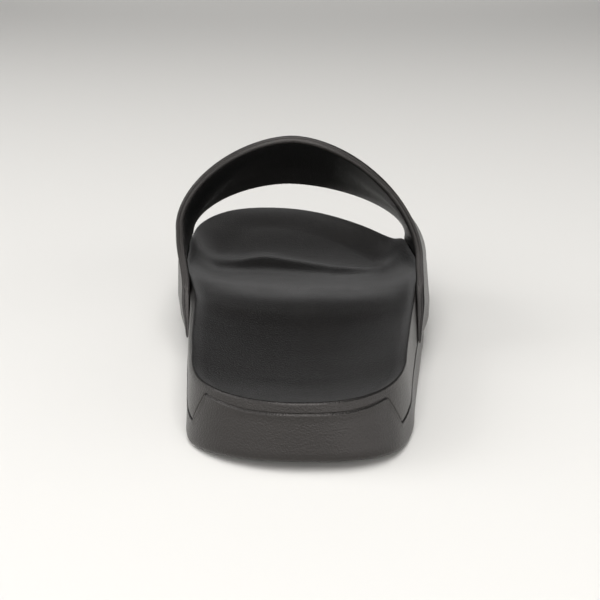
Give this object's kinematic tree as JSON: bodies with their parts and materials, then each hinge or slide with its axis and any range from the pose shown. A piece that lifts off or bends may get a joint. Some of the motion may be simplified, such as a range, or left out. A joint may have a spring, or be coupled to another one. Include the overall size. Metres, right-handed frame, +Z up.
{
  "type": "foam slide sandal",
  "caption": "Open foam slide sandal for the right foot: a contoured one-piece sole with a raised rim, and a wide moulded band over the instep, open at toe and heel.",
  "frame": {"origin": "on the floor, under the middle of the shoe's box", "axes": "+Y from heel to toe, +Z up, +X to the outer side of the right foot"},
  "size_m": [0.1088, 0.262, 0.0846],
  "materials": {
    "sole_foam": "matt black moulded foam with a fine grain",
    "strap_foam": "matt black moulded foam with a fine grain and a parting line on its edges"
  },
  "bodies": {
    "root": {"sole": "sole_foam", "strap": "strap_foam"}
  },
  "joints": []
}
